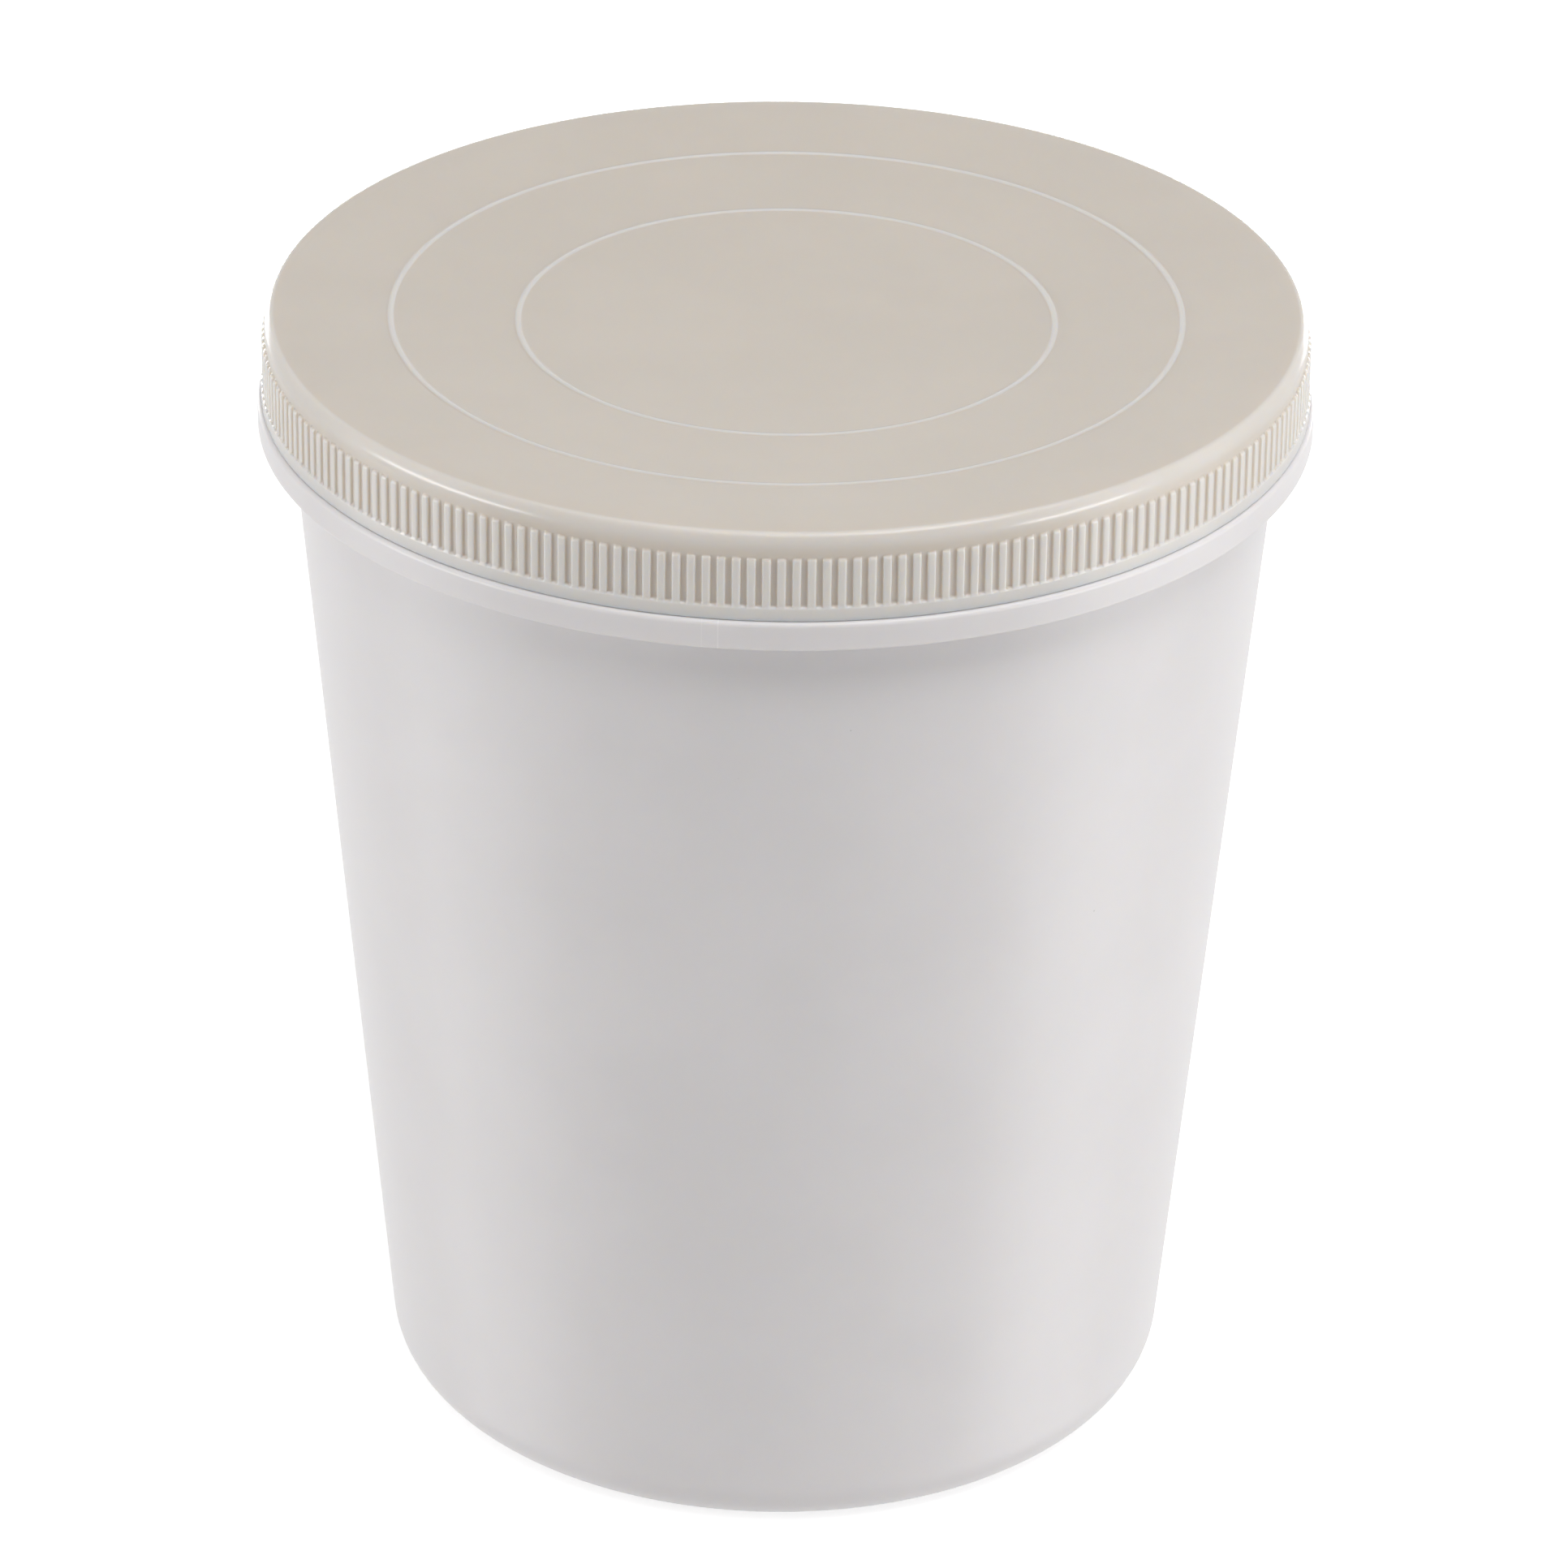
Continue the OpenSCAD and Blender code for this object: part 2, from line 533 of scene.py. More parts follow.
@dataclass(frozen=True)
class LidPlastic(MouldedPlastic):
    """The lid's ivory plastic, with painted highlights that make what stands out and the round edge paler
    and cooler.

    Attributes:
        painted_highlight: Colour of the painted highlight on what stands out, linear.
        proud_r: Radius past which the grip and the rim get the painted highlight, in millimetres.
        proud_play: Width over which that sets in.
        grip_top: Height under which it holds.
        ring_radii: Radii of the raised rings.
        ring_half: Half the width of the painted highlight on a ring.
        ring_play: Width over which it fades.
        ring_low: Height over which the rings are looked for.
        edge_r: Radius where the painted highlight on the rounded edge begins.
        edge_play: How far it fades on either side of that radius.
        edge_z: Height where it ends.
        edge_fade: How far it fades on either side of that height.
        edge_highlight_share: How strong that painted highlight is.
        edge_highlight_colour: Colour of that painted highlight, linear.
    """

    # Painted highlight: a paler, cooler colour on the grip's crests, the rim and the rings.
    painted_highlight: Colour = (0.675, 0.65, 0.625)
    proud_r: float = 60.08
    proud_play: float = 0.2
    grip_top: float = 134.6
    ring_radii: tuple[float, ...] = (45.4, 30.8)
    ring_half: float = 0.4
    ring_play: float = 0.12
    ring_low: float = 134.2
    edge_r: float = 58.8
    edge_play: float = 0.2
    edge_z: float = 135.3
    edge_fade: float = 0.8
    edge_highlight_share: float = 0.8
    # Painted highlight on the round edge of the top.
    edge_highlight_colour: Colour = (0.64, 0.615, 0.588)

    def _marked(self, n: Nodes, colour: Socket) -> Socket:
        """Paints highlights on the crests of the grip, the rim and the rings, and on the round edge.

        Args:
            n: The writer of the material's tree.
            colour: The colour so far.

        Returns:
            The colour with the rubbed places in it.
        """
        axis = n.add("ShaderNodeSeparateXYZ", {"Vector": n.place})
        across = n.math("POWER", axis.outputs["X"], 2.0)
        along = n.math("POWER", axis.outputs["Y"], 2.0)
        radius = n.math("SQRT", n.math("ADD", across, along))
        # Painted highlight on the crests of the grip and the rim past proud_r, and on the raised rings.
        low, high = self.proud_r - self.proud_play / 2, self.proud_r + self.proud_play / 2
        crest_highlight_mask = n.span(radius, low * MM, high * MM, 0.0, 1.0)
        crest_highlight_mask = n.math("MULTIPLY", crest_highlight_mask, n.math("LESS_THAN", axis.outputs["Z"], self.grip_top * MM))
        on_top = n.math("GREATER_THAN", axis.outputs["Z"], self.ring_low * MM)
        for ring in self.ring_radii:
            away = n.math("ABSOLUTE", n.math("SUBTRACT", radius, ring * MM))
            near = n.span(away, (self.ring_half - self.ring_play) * MM, self.ring_half * MM, 1.0, 0.0)
            crest_highlight_mask = n.math("MAXIMUM", crest_highlight_mask, n.math("MULTIPLY", near, on_top))
        # Painted highlight on the round edge: from edge_r outward and above edge_z.
        low, high = self.edge_r - self.edge_play, self.edge_r + self.edge_play
        edge_highlight_mask = n.span(radius, low * MM, high * MM, 0.0, self.edge_highlight_share)
        low, high = self.edge_z - self.edge_fade, self.edge_z + self.edge_fade
        edge_highlight_mask = n.math("MULTIPLY", edge_highlight_mask, n.span(axis.outputs["Z"], low * MM, high * MM, 0.0, 1.0))
        return n.mix(crest_highlight_mask, n.mix(edge_highlight_mask, colour, self.edge_highlight_colour), self.painted_highlight)


@dataclass(frozen=True)
class FoamSheet:
    """Closed-cell foam sheet with a thin matt film.

    Attributes:
        name: Name of the material.
        colour: Colour of the foam, linear.
        cell_size: Width of a cell, in millimetres.
    """

    name: str
    colour: Colour
    cell_size: float = 0.45

    def make(self) -> bpy.types.Material:
        """Builds the finish.

        Returns:
            The material.
        """
        material, n = new_material(self.name)
        sockets = {"Vector": n.place, "Scale": 1.0 / (self.cell_size * MM)}
        cells = n.add("ShaderNodeTexVoronoi", sockets, feature="SMOOTH_F1").outputs["Distance"]
        patch = n.noise(120.0, 4.0)
        tone = n.mix(n.span(cells, 0.1, 0.8, 0.0, 1.0), self.colour, tinted(self.colour, 0.9))
        tone = n.mix(n.span(patch, 0.35, 0.7, 0.0, 0.35), tone, tinted(self.colour, 0.93))
        shader = n.add(
            "ShaderNodeBsdfPrincipled",
            {
                "Base Color": tone,
                "Roughness": n.span(patch, 0.3, 0.7, 0.72, 0.88),
                "IOR": 1.4,
                "Normal": n.bump(cells, 0.04, 0.6),
            },
        )
        n.add("ShaderNodeOutputMaterial", {"Surface": shader.outputs["BSDF"]})
        return material


@dataclass
class Part:
    """A part that moves as one body and shares one finish.

    Attributes:
        body: The body that its pieces ride on.
        slot: The record's slot for its finish; not used.
        finish: The material of its pieces.
    """

    body: Body
    slot: Slot
    finish: bpy.types.Material

    def dress(self, piece: Piece, stands_for: str = "") -> Piece:
        """Smooths a piece, gives it its finish and ties it to its body.

        Args:
            piece: The finished mesh.
            stands_for: Name of the solid that it replaces, if any.

        Returns:
            The piece.
        """
        Bench.finish(piece)
        piece.data.materials.clear()
        piece.data.materials.append(self.finish)
        if stands_for:
            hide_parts(stands_for)
        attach(piece, self.body.value)
        faces = len(piece.data.polygons)
        log.info("%s: %d faces, %d open edges", piece.name, faces, Bench.open_edges(piece))
        return piece


@dataclass
class Thread:
    """One screw ridge, swept along its helix and run out at both ends.

    Attributes:
        side: Whether it stands on the neck or in the skirt.
        root_r: Radius of the wall that it stands on.
        first_z: Height of its middle line where it starts.
        first_angle: Angle about the axis where it starts, in degrees.
        turns: How many turns it makes.
        lead: Rise in one turn.
        height: How far its crest stands off the wall.
        root_half: Half its width at the wall.
        crest_half: Half its width at the crest.
        corner_in: How far its soft corners reach down from the crest.
        corner_up: Half their width.
        sunk: How far it reaches into the wall.
        runout: Angle of the run-out at each end, in degrees.
        dip: How far the crest ends under the wall.
        steps_a_turn: Steps of the sweep in one turn.
    """

    side: Side
    root_r: float
    first_z: float
    first_angle: float
    turns: float
    lead: float = 5.0
    height: float = 1.1
    root_half: float = 0.9
    crest_half: float = 0.45
    corner_in: float = 0.12
    corner_up: float = 0.08
    sunk: float = 0.4
    runout: float = 22.0
    dip: float = 0.05
    steps_a_turn: int = 180

    @property
    def crest_r(self) -> float:
        """Radius of the crest."""
        return self.root_r + self.side.value * self.height

    def make(self, name: str) -> Piece:
        """Draws the ridge's section, sweeps it and tapers its ends.

        Args:
            name: Name of the new object.

        Returns:
            The ridge, in object mode.
        """
        way = self.side.value
        back = self.root_r - way * self.sunk
        inner = self.crest_r - way * self.corner_in
        low, high = -self.crest_half, self.crest_half
        section = Outline().to(back, -self.root_half).to(self.root_r, -self.root_half)
        section.to(inner, low - self.corner_up).to(self.crest_r, low + self.corner_up)
        section.to(self.crest_r, high - self.corner_up).to(inner, high + self.corner_up)
        section.to(self.root_r, self.root_half).to(back, self.root_half)
        corners = [(x, y, z + self.first_z) for x, y, z in section.at(math.radians(self.first_angle))]
        piece = Bench.begin(name, corners)
        Bench.pick(lambda i, _: i in (0, len(corners) - 1))
        bpy.ops.mesh.edge_face_add()
        Bench.hold(piece)
        steps = round(self.turns * self.steps_a_turn)
        sweep = piece.modifiers.new("sweep", "SCREW")
        sweep.axis = "Z"
        sweep.angle = 2 * math.pi * self.turns
        sweep.screw_offset = self.lead * self.turns * MM
        sweep.steps = sweep.render_steps = steps
        bpy.ops.object.modifier_apply(modifier=sweep.name)
        bpy.ops.object.mode_set(mode="EDIT")
        self._run_out(len(corners), steps)
        bpy.ops.mesh.select_all(action="SELECT")
        bpy.ops.mesh.fill_holes(sides=len(corners))
        Bench.weld(FINE_MERGE_MM)
        Bench.put_down()
        return piece

    def _run_out(self, corners: int, steps: int) -> None:
        """Lets the crest sink to the wall at both ends.

        Args:
            corners: Points in the section.
            steps: Steps of the sweep.
        """
        reach = round(self.runout / 360 / self.turns * steps)
        for k in range(reach):
            share = 0.5 - 0.5 * math.cos(math.pi * k / reach)
            target = self.root_r + (self.crest_r - self.root_r) * share
            target -= self.side.value * self.dip * (1 - share)
            for ring in (k, steps - k):
                low, high = ring * corners + 2, ring * corners + corners - 3
                Bench.pick(lambda i, _: low <= i <= high)
                grow = target / self.crest_r
                bpy.ops.transform.resize(value=(grow, grow, 1), center_override=(0, 0, 0))


@dataclass
class Cup(Part):
    """The tapered cup with its rounded foot, hollow flange, neck and screw.

    Attributes:
        height: From the table to the top of the flange.
        neck_r: Outer radius of the neck, which the wall reaches under the flange.
        table_r: Radius that the wall's slope would reach at the table.
        wall: Thickness of the wall.
        floor_top: Height of the floor inside.
        foot_r: Outer radius of the rounded foot's arc.
        stand_h: Height of the ring that the cup stands on.
        stand_w: Width of that ring.
        flange_r: Radius of the flange.
        flange_h: Height of the flange's outer face.
        flange_t: Thickness of the flange.
        edge_r: Radius on the flange's upper edge.
        hem_r: Radius on its lower edge.
        web_r: Radius where the neck meets the web from below.
        skirt_r: Radius inside the flange's corner.
        seat_r: Radius where the neck meets the web from above.
        lip_r: Radius on either side of the neck's lip.
        lip_z: Height of the neck's lip.
    """

    height: float = 126.8
    neck_r: float = 57.0
    table_r: float = 45.85
    wall: float = 1.5
    floor_top: float = 2.6
    foot_r: float = 6.5
    stand_h: float = 0.8
    stand_w: float = 3.0
    flange_r: float = 60.8
    flange_h: float = 3.4
    flange_t: float = 1.3
    edge_r: float = 0.62
    hem_r: float = 0.3
    web_r: float = 0.5
    skirt_r: float = 0.4
    seat_r: float = 0.35
    lip_r: float = 0.5
    lip_z: float = 134.2

    def shell(self) -> Piece:
        """Turns the cup from one closed outline, from under its floor round the lip to the floor inside.

        Returns:
            The cup's mesh.
        """
        flange_z = self.height - self.flange_h
        taper = (self.neck_r - self.table_r) / flange_z
        lean = math.atan(taper)
        foot_c = self.table_r + self.foot_r * taper - self.foot_r / math.cos(lean)
        stand_in = foot_c - self.stand_w
        inner = self.foot_r - self.wall
        inner_c = self.table_r - self.wall + (self.floor_top + inner) * taper - inner / math.cos(lean)
        bore = self.neck_r - self.wall
        web_z = self.height - self.flange_t
        skirt = self.flange_r - self.flange_t
        lean_deg = math.degrees(lean)
        line = Outline(list(GATE_LINE))
        line.to(4.3, self.stand_h).run(stand_in - 1.1, self.stand_h, 6)
        line.to(stand_in - 0.65, self.stand_h - 0.12).to(stand_in - 0.12, 0.12).to(stand_in + 0.05, 0.0)
        line.bend((foot_c, self.foot_r), self.foot_r, -90, -lean_deg, 18)
        line.run(self.neck_r, flange_z, 10).to(self.neck_r, web_z - self.web_r)
        line.bend((self.neck_r + self.web_r, web_z - self.web_r), self.web_r, 180, 90, 3)
        line.bend((skirt - self.skirt_r, web_z - self.skirt_r), self.skirt_r, 90, 0, 3)
        line.to(skirt, flange_z + 0.15).to(skirt + 0.15, flange_z)
        line.bend((self.flange_r - self.hem_r, flange_z + self.hem_r), self.hem_r, -90, 0, 4)
        line.bend((self.flange_r - self.edge_r, self.height - self.edge_r), self.edge_r, 0, 90, 7)
        line.run(self.neck_r + self.seat_r, self.height, 2)
        line.bend((self.neck_r + self.seat_r, self.height + self.seat_r), self.seat_r, -90, -180, 3)
        lip_c = self.lip_z - self.lip_r
        line.to(self.neck_r, lip_c).bend((self.neck_r - self.lip_r, lip_c), self.lip_r, 0, 90, 5)
        line.bend((bore + self.lip_r, lip_c), self.lip_r, 90, 180, 5)
        line.run(bore, flange_z, 3)
        z_in = self.floor_top + inner
        line.run(inner_c + inner * math.cos(lean), z_in - inner * math.sin(lean), 10)
        line.bend((inner_c, z_in), inner, -lean_deg, -90, 12).run(0, self.floor_top, 8)
        return Bench.turn("cup_shell", line)

    def build(self) -> list[Piece]:
        """Builds the cup and its screw.

        Returns:
            The cup's pieces.
        """
        shell = self.dress(self.shell(), "cup")
        ridge = Thread(Side.NECK, root_r=self.neck_r, first_z=128.9, first_angle=-60.0, turns=0.8)
        return [shell, self.dress(ridge.make("neck_screw"))]


@dataclass
class GripRib:
    """One pitch of the lid's grip: a bar with soft corners, the bare groove beside it and the rim under it.

    Attributes:
        groove_r: Radius of the groove's floor, which is the smooth band's.
        crest_r: Radius of the bar's crest.
        rim_r: Radius of the plain rim.
        rim_low: Height where the rim's face begins.
        ledge_z: Height of the rim's top, where the grooves end.
        top_z: Height of the bars' upper ends.
        collar: How far the smooth band over them belongs to the pitch.
    """

    groove_r: float = 59.9
    crest_r: float = 60.2
    rim_r: float = 60.35
    rim_low: float = 127.1
    ledge_z: float = 128.45
    top_z: float = 134.35
    collar: float = 0.35

    def column(self, share: float) -> Outline:
        """Draws the upright line along one column of the pitch.

        Args:
            share: How far the column stands out, 0 in the groove and 1 on the crest.

        Returns:
            The column's outline, from the rim up to the smooth band.
        """
        crest = self.groove_r + (self.crest_r - self.groove_r) * share
        line = Outline().to(self.rim_r, self.ledge_z - 0.2)

        def between(low: float, high: float) -> float:
            """Mixes the groove's value and the crest's."""
            return low + (high - low) * share

        line.to(between(self.rim_r - 0.16, self.rim_r), self.ledge_z + between(-0.03, -0.06))
        line.to(between(self.groove_r + 0.18, crest), self.ledge_z + between(0.03, 0.1))
        line.to(between(self.groove_r, crest), self.ledge_z + between(0.26, 0.3))
        line.to(crest, self.top_z - between(0.62, 0.42))
        line.to(between(self.groove_r, crest - 0.13 * share), self.top_z - between(0.42, 0.12))
        line.to(max(self.groove_r, crest - 0.42), self.top_z - between(0.22, 0.01))
        return line.to(self.groove_r, self.top_z + 0.12)

    def pitch(self) -> Piece:
        """Models one pitch: its columns are drawn and bridged, and a face at each end meets the bands.

        Returns:
            The pitch, in edit mode.
        """
        pitch_angle = 2 * math.pi / RIB_COUNT
        places = [(-u, s) for u, s in HALF_PITCH] + [*reversed(HALF_PITCH)]
        columns = [self.column(s).at(u * pitch_angle) for u, s in places]
        rows = len(columns[0])
        piece = Bench.begin("lid_grip", columns[0])
        for column in columns[1:]:
            Bench.draw(column)
        for c in range(len(columns) - 1):
            Bench.pick(lambda i, _: c * rows <= i < (c + 2) * rows)
            bpy.ops.mesh.bridge_edge_loops()
        ends = ((self.rim_r, self.rim_low, 0), (self.groove_r, self.top_z + self.collar, rows - 1))
        for radius, height, row in ends:
            turn = [u * pitch_angle for u in (-0.5, 0.0, 0.5)]
            Bench.draw([(radius * math.cos(t), radius * math.sin(t), height) for t in turn])
            Bench.pick(lambda _, at: min(abs(at.z - height), abs(at.z - columns[0][row][2])) < 0.005)
            bpy.ops.mesh.edge_face_add()
        return piece

    def ring(self) -> Piece:
        """Copies the pitch all round the lid.

        Returns:
            The grip, in object mode.
        """
        piece = self.pitch()
        bpy.ops.mesh.select_all(action="SELECT")
        rest = RIB_COUNT - 1
        angle = 2 * math.pi * rest / RIB_COUNT
        bpy.ops.mesh.spin(steps=rest, dupli=True, angle=angle, center=(0, 0, 0), axis=(0, 0, 1))
        Bench.weld()
        Bench.put_down()
        return piece


@dataclass
class Lid(Part):
    """The dished screw lid with its two raised rings, round edge, grip and inner screw.

    Attributes:
        bottom: Height of its lower rim.
        top: Height of its top edge.
        dish_depth: How far the middle of the top lies under the edge.
        border_w: Distance from the dish to the band, over the level border and the edge.
        flank_r: Radius of the edge's lower part, which meets the band.
        brow_r: Radius of its tight upper part.
        brow_turn: Angle from the outward direction, in radians, where one passes into the other.
        border_drop: How far the level border next to the edge lies under the dish's own rim.
        skin: Thickness of the top.
        bore: Inner radius of the skirt.
        seat_r: Radius where the underside turns level.
        rings: Radii of the two raised rings.
        ring_w: Width of a ring.
        ring_h: Height of a ring.
        ring_side: Plain surface drawn with a ring on either side of it.
        bead_z: Height of the tip of the bead that holds the disc.
        bead_half: Half its width at the skirt.
        bead_in: How far its flanks reach in.
        bead_up: Half its width where they end.
        bead_tip: Middle of its round tip, inward from the skirt, and the tip's radius.
        soft_r: Radius in the corner over it and width of the rim's inner chamfer.
        grip: The grip round the skirt.
    """

    bottom: float = 126.83
    top: float = 137.25
    dish_depth: float = 2.75
    border_w: float = 1.9
    flank_r: float = 2.6
    brow_r: float = 0.65
    brow_turn: float = math.radians(40)
    border_drop: float = 0.2
    skin: float = 1.6
    bore: float = 58.5
    seat_r: float = 54.0
    rings: tuple[float, float] = (45.4, 30.8)
    ring_w: float = 0.8
    ring_h: float = 0.15
    ring_side: float = 0.25
    bead_z: float = 133.7
    bead_half: float = 0.5
    bead_in: float = 0.3
    bead_up: float = 0.2
    bead_tip: tuple[float, float] = (0.28, 0.22)
    soft_r: float = 0.3
    grip: GripRib = field(default_factory=GripRib)

    def dish(self, radius: float) -> float:
        """Height of the top's smooth surface at a radius."""
        reach = self.grip.groove_r - self.border_w
        return self.top - self.dish_depth * (1 - (min(radius, reach) / reach) ** 2)

    def along(self, line: Outline, start: float, end: float, parts: int, drop: float = 0.0) -> None:
        """Draws the dished surface, or one that lies under it.

        Args:
            line: The outline that it is added to.
            start: Radius where it starts.
            end: Radius where it ends.
            parts: How many parts it has.
            drop: How far it lies under the dished surface.
        """
        for i in range(parts + 1):
            r = start + (end - start) * i / parts
            line.to(r, min(self.dish(r), self.top - self.border_drop) - drop)

    def over(self) -> Outline:
        """Draws the outside, from the top of the grip over the edge to the middle of the top.

        Returns:
            The outline.
        """
        band = self.grip.groove_r
        border_z = self.top - self.border_drop
        brow_z = border_z - self.brow_r * (1 - math.sin(self.brow_turn))
        brow_in = self.flank_r * (1 - math.cos(self.brow_turn)) + self.brow_r * math.cos(self.brow_turn)
        brow = (band - brow_in, border_z - self.brow_r)
        flank = (band - self.flank_r, brow_z - self.flank_r * math.sin(self.brow_turn))
        turn = math.degrees(self.brow_turn)
        line = Outline().to(band, self.grip.top_z + self.grip.collar)
        line.bend(flank, self.flank_r, 0, turn, 8).bend(brow, self.brow_r, turn + 8, 92, 6)
        here = line.points[-1][0]
        for ring in self.rings:
            self.along(line, here, ring + self.ring_w / 2 + self.ring_side, 6)
            for across, up in RING_LINE:
                r = ring + across * self.ring_w
                line.to(r, self.dish(r) + up * self.ring_h)
            here = ring - self.ring_w / 2 - self.ring_side
        self.along(line, here, 0.0, 12)
        return line

    def under(self) -> Outline:
        """Draws the inside, from the middle of the underside down the skirt to the rim's outer face.

        Returns:
            The outline.
        """
        seat_z = self.dish(self.seat_r) - self.skin
        line = Outline()
        self.along(line, 0.0, self.seat_r, 12, self.skin)
        line.bend((self.bore - self.soft_r, seat_z - self.soft_r), self.soft_r, 90, 0, 3)
        flank_r, (tip_in, tip_r) = self.bore - self.bead_in, self.bead_tip
        line.to(self.bore, self.bead_z + self.bead_half).to(flank_r, self.bead_z + self.bead_up)
        line.bend((self.bore - tip_in, self.bead_z), tip_r, 135, 225, 4)
        line.to(flank_r, self.bead_z - self.bead_up).to(self.bore, self.bead_z - self.bead_half)
        line.to(self.bore, self.bottom + self.soft_r).to(self.bore + self.soft_r, self.bottom)
        line.bend((self.grip.rim_r - 0.08, self.bottom + 0.05), 0.05, -90, -20, 3)
        line.to(self.grip.rim_r + 0.02, self.bottom + 0.08).to(self.grip.rim_r + 0.02, self.bottom + 0.12)
        return line.to(self.grip.rim_r, self.grip.rim_low)

    def build(self) -> list[Piece]:
        """Builds the lid and its screw.

        Returns:
            The lid's pieces.
        """
        shell = Bench.join(
            [Bench.turn("lid_shell", self.over()), Bench.turn("lid_inside", self.under()), self.grip.ring()]
        )
        shell = self.dress(shell, "lid")
        ridge = Thread(Side.SKIRT, root_r=self.bore, first_z=128.4, first_angle=12.0, turns=0.78)
        return [shell, self.dress(ridge.make("lid_screw"))]


@dataclass
class SealingDisc(Part):
    """The soft disc under the lid's top, marked by the lip that it closes on.

    Attributes:
        lid: The lid whose underside it follows.
        thickness: Thickness of the sheet.
        gap: Gap to the lid.
        radius: Radius of the disc.
        lip_r: Middle radius of the lip's mark.
        mark_half: Half the width of the mark's floor.
        mark_foot: Half its width at the disc's surface.
        mark_h: Depth of the mark.
        edge_r: Radius of the disc's rounded edges.
    """

    lid: Lid
    thickness: float = 0.8
    gap: float = 0.15
    radius: float = 58.2
    lip_r: float = 56.25
    mark_half: float = 0.55
    mark_foot: float = 1.0
    mark_h: float = 0.09
    edge_r: float = 0.2

    def build(self) -> list[Piece]:
        """Builds the disc.

        Returns:
            The disc's one piece.
        """
        high = self.lid.seat_r
        drop = self.lid.skin + self.gap
        seat = self.lid.dish(high) - drop
        low = seat - self.thickness
        line = Outline()
        self.lid.along(line, 0.0, high, 14, drop + self.thickness)
        mark = low + self.mark_h
        line.to(self.lip_r - self.mark_foot, low).to(self.lip_r - self.mark_half, mark)
        line.to(self.lip_r + self.mark_half, mark).to(self.lip_r + self.mark_foot, low)
        line.bend((self.radius - self.edge_r, low + self.edge_r), self.edge_r, -90, 0, 3)
        line.bend((self.radius - self.edge_r, seat - self.edge_r), self.edge_r, 0, 90, 3)
        self.lid.along(line, high, 0.0, 14, drop)
        return [self.dress(Bench.turn("foam_disc", line, RIB_COUNT), "sealing_disc")]


@dataclass(frozen=True)
class Softbox:
    """A large soft lamp that faces the cup.

    Attributes:
        name: Name of the lamp.
        azimuth: Direction it stands in, in degrees from the camera's side towards +X.
        elevation: Its height above the horizon, in degrees, seen from the cup.
        distance: Distance from the cup, in metres.
        width: Width in metres.
        height: Height in metres.
        radiance: Brightness of its face, where 1 renders white.
    """

    name: str
    azimuth: float
    elevation: float
    distance: float
    width: float
    height: float
    radiance: float

    def build(self) -> Piece:
        """Hangs the lamp.

        Returns:
            The lamp object.
        """
        a, e = math.radians(self.azimuth), math.radians(self.elevation)
        away = Vector((math.sin(a) * math.cos(e), -math.cos(a) * math.cos(e), math.sin(e)))
        Bench.put_down()
        bpy.ops.object.light_add(type="AREA", location=away * self.distance + Vector(LAMP_AIM))
        lamp = bpy.context.object
        lamp.name = lamp.data.name = self.name
        lamp.rotation_euler = away.to_track_quat("Z", "Y").to_euler()
        lamp.data.shape = "RECTANGLE"
        lamp.data.size, lamp.data.size_y = self.width, self.height
        lamp.data.energy = self.radiance * self.width * self.height * math.pi
        lamp.visible_camera = False
        return lamp


@dataclass(frozen=True)
class PhotoCamera:
    """The camera as fitted to the photograph.

    Attributes:
        lid_r: Radius that the fit took as its unit, in millimetres.
        lid_z: Height of the point that the camera's distance is measured to.
        distance: Distance in those units.
        focal_px: Focal length in pixels.
        frame_px: Side of the square frame in pixels.
        elevation: Elevation of the camera above that point, in degrees.
        turn: Turn of the camera about the cup's axis, which brings the ribs where they are seen.
        yaw: Turn to the side about the camera's own upright, in degrees.
        pitch: Tilt in degrees.
        roll: Roll in degrees.
    """

    lid_r: float = 61.0
    lid_z: float = 128.45
    distance: float = 16.0
    focal_px: float = 10433.0
    frame_px: float = 1932.0
    elevation: float = 25.099
    turn: float = 0.2
    yaw: float = 0.0204
    pitch: float = -2.7781
    roll: float = -0.7029

    def build(self) -> Piece:
        """Places the camera and makes it the scene's.

        Returns:
            The camera object.
        """
        place = Matrix.Translation((0, 0, self.lid_z * MM))
        place @= Matrix.Rotation(math.radians(self.turn), 4, "Z")
        place @= Matrix.Rotation(math.radians(90 - self.elevation), 4, "X")
        place @= Matrix.Translation((0, 0, self.distance * self.lid_r * MM))
        for degrees, axis in ((-self.yaw, "Y"), (self.pitch, "X"), (-self.roll, "Z")):
            place @= Matrix.Rotation(math.radians(degrees), 4, axis)
        Bench.put_down()
        bpy.ops.object.camera_add()
        camera = bpy.context.object
        camera.name = camera.data.name = "camera"
        camera.matrix_world = place
        camera.data.sensor_width = SENSOR_MM
        camera.data.lens = SENSOR_MM * self.focal_px / self.frame_px
        camera.data.clip_start, camera.data.clip_end = 0.05, 20.0
        bpy.context.scene.camera = camera
        return camera


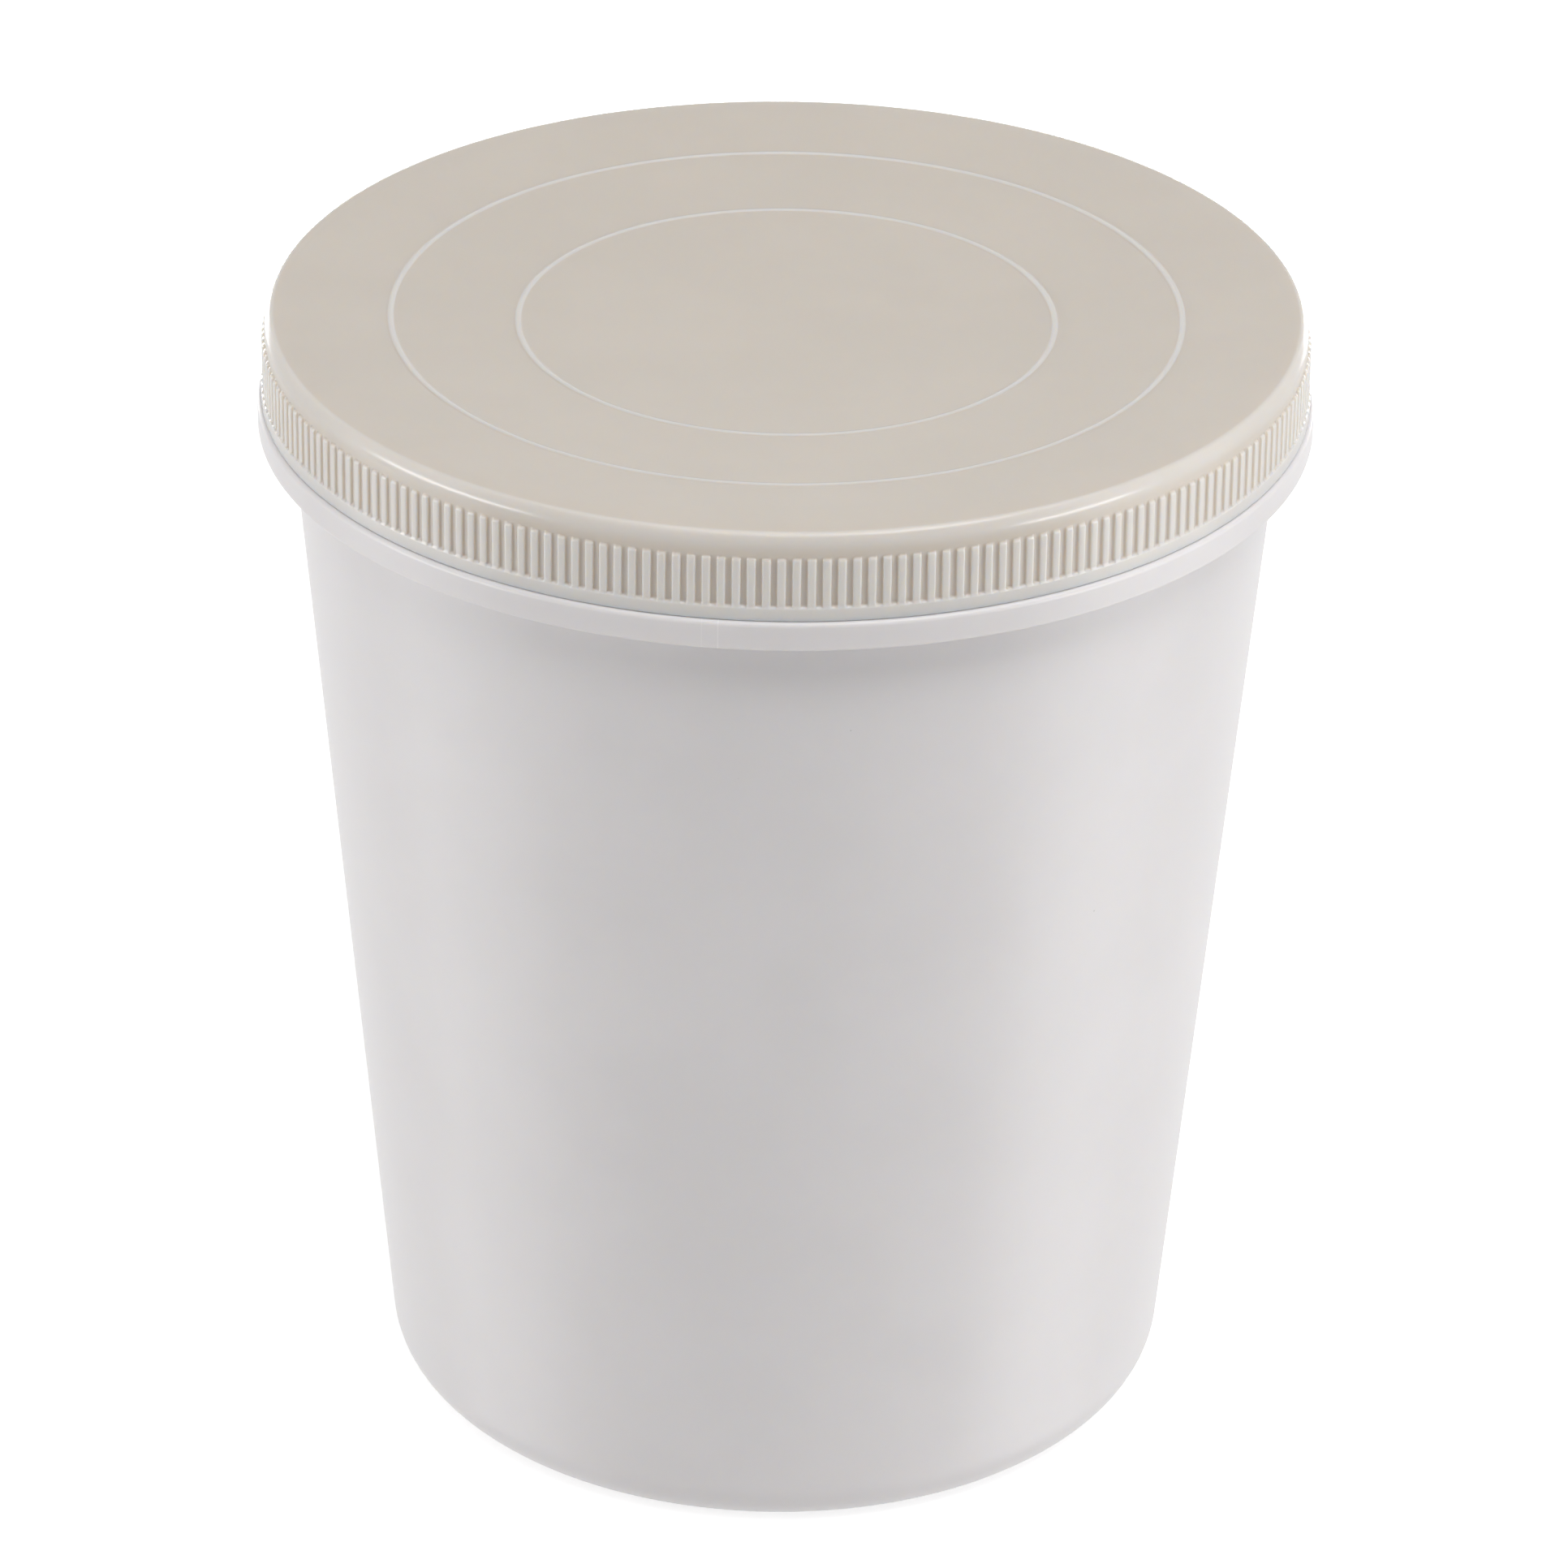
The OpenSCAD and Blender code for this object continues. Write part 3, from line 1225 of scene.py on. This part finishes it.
@dataclass(frozen=True)
class Studio:
    """The floor, the lamps and the surrounding light.

    Attributes:
        ambient: Strength of the light from all round.
        floor_side: Side of the floor in metres.
        floor_colour: Colour of the floor, linear.
        floor_lift: Light that the floor adds for the camera alone, so that it shows white.
        floor_reach: Distances from the cup, in metres, between which that light rises to full white.
        boxes: The lamps.
    """

    ambient: float = 0.04
    floor_side: float = 9.0
    floor_colour: Colour = (0.74, 0.74, 0.74)
    floor_lift: float = 0.66
    floor_reach: tuple[float, float] = (0.25, 0.6)
    boxes: tuple[Softbox, ...] = (
        Softbox("left_side", -85, -5, 0.9, 0.64, 1.7, 0.95),
        Softbox("right_side", 75, -5, 0.9, 0.32, 1.7, 1.38),
        Softbox("right_back", 95, -5, 0.9, 0.32, 1.7, 0.89),
        Softbox("overhead", 0, 88, 1.1, 0.6, 0.6, 1.9),
        Softbox("high_left", -90, 60, 1.1, 0.6, 0.6, 0.4),
        Softbox("high_right", 90, 60, 1.1, 0.6, 0.6, 1.48),
        Softbox("front_high_left", -40, 57, 1.1, 0.45, 0.35, 1.6),
        Softbox("front_high", 0, 57, 1.1, 0.45, 0.35, 3.3),
        Softbox("front_high_right", 40, 57, 1.1, 0.45, 0.35, 5.7),
        Softbox("low_back", 180, -8, 1.3, 1.6, 0.4, 5.0),
        Softbox("low_strip_left", -72, 8, 0.9, 0.6, 0.12, 11.0),
        Softbox("low_strip_right", 62, 8, 0.9, 0.4, 0.12, 12.2),
    )

    def surround(self) -> None:
        """Sets the world: soft light for the object, white for what the camera and a gloss see."""
        world = bpy.data.worlds.new("surround")
        bpy.context.scene.world = world
        world.use_nodes = True
        n = Nodes(world.node_tree)
        ray = n.add("ShaderNodeLightPath")
        seen = n.math("MAXIMUM", ray.outputs["Is Camera Ray"], ray.outputs["Is Transmission Ray"])
        seen = n.math("MAXIMUM", seen, ray.outputs["Is Glossy Ray"])
        dim = n.add("ShaderNodeBackground", {"Color": WHITE, "Strength": self.ambient})
        white = n.add("ShaderNodeBackground", {"Color": WHITE, "Strength": 1.0})
        both = n.add("ShaderNodeMixShader", {0: seen, 1: dim.outputs[0], 2: white.outputs[0]})
        n.add("ShaderNodeOutputWorld", {"Surface": both.outputs[0]})

    def floor(self) -> Piece:
        """Lays the plain floor, which lets reflections and the view from below through.

        Returns:
            The floor object.
        """
        Bench.put_down()
        bpy.ops.mesh.primitive_plane_add(size=self.floor_side, location=(0, 0, 0))
        floor = bpy.context.object
        floor.name = floor.data.name = "floor"
        material, n = new_material("floor_paper")
        seen = n.add("ShaderNodeLightPath").outputs["Is Camera Ray"]
        paper = n.add("ShaderNodeBsdfDiffuse", {"Color": (*self.floor_colour, 1)})
        away = n.add("ShaderNodeVectorMath", {0: n.place}, operation="LENGTH").outputs["Value"]
        strength = n.span(away, *self.floor_reach, self.floor_lift, 1.0)
        lift = n.add("ShaderNodeEmission", {"Color": WHITE, "Strength": strength})
        lit = n.add("ShaderNodeAddShader", {0: paper.outputs[0], 1: lift.outputs[0]})
        shown = n.add("ShaderNodeMixShader", {0: seen, 1: paper.outputs[0], 2: lit.outputs[0]})
        clear = n.add("ShaderNodeBsdfTransparent")
        back = n.add("ShaderNodeNewGeometry").outputs["Backfacing"]
        one_sided = n.add("ShaderNodeMixShader", {0: back, 1: shown.outputs[0], 2: clear.outputs[0]})
        n.add("ShaderNodeOutputMaterial", {"Surface": one_sided.outputs[0]})
        floor.data.materials.append(material)
        floor.visible_glossy = False
        floor.visible_shadow = False
        return floor

    def build(self) -> None:
        """Builds the whole studio and its camera."""
        bpy.context.scene.view_settings.view_transform = "Standard"
        self.surround()
        self.floor()
        for box in self.boxes:
            box.build()
        PhotoCamera().build()


def main() -> None:
    """Builds the cup, its lid and its seal, then the studio round them."""
    logging.basicConfig(level=logging.INFO, format="%(name)s: %(message)s")
    cup_white = CupPlastic("cup_white", (0.712, 0.690, 0.693), depth_glow=0.5)
    lid_ivory = LidPlastic(
        "lid_ivory", (0.645, 0.585, 0.514), roughness=0.22, depth_glow=1.0, depth_reach=1.6
    )
    foam = FoamSheet("seal_foam_sheet", (0.86, 0.85, 0.83))
    cup = Cup(Body.CUP, Slot.CUP, cup_white.make())
    lid = Lid(Body.LID, Slot.LID, lid_ivory.make())
    seal = SealingDisc(Body.SEAL, Slot.SEAL, foam.make(), lid)
    for part in (cup, lid, seal):
        pieces = part.build()
        log.info("%s built: %s", part.body.value, ", ".join(p.name for p in pieces))
    Studio().build()


if __name__ == "__main__":
    main()
